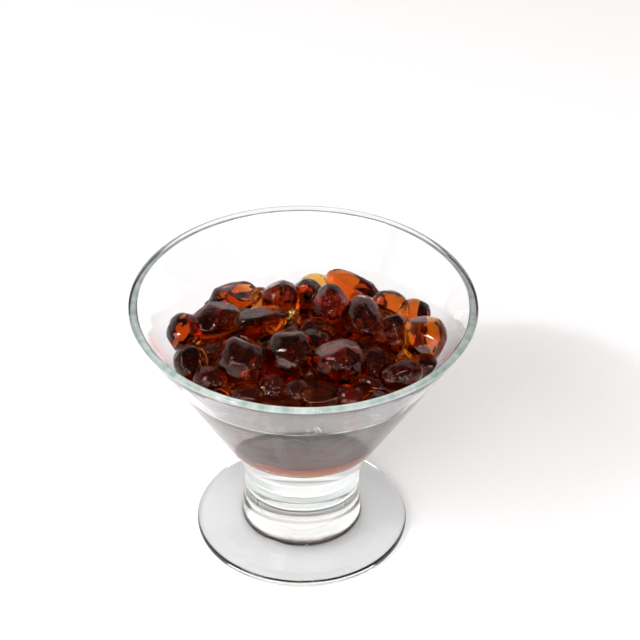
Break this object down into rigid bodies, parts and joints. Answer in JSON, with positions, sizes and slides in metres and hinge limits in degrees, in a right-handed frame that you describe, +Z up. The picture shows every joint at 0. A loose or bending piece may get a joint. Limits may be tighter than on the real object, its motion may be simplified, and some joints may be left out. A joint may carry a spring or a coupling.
{
  "type": "glass coupe of boba pearls in syrup",
  "caption": "Footed cone-shaped clear glass dessert dish heaped with glossy dark amber jelly pearls in brown sugar syrup.",
  "frame": {"origin": "middle of the foot, on the surface that the coupe stands on", "axes": "+Z up along the coupe's axis, out of its mouth; the pictured front faces -Y"},
  "size_m": [0.104, 0.104, 0.085],
  "materials": {
    "clear_glass": "clear pressed glass with a fire-polished lip, faintly green in its thick parts",
    "amber_jelly": "wet translucent brown-sugar jelly, red-brown to near black, orange where it is thin"
  },
  "bodies": {
    "root": {"glass": "clear_glass", "boba": "amber_jelly"}
  },
  "joints": []
}
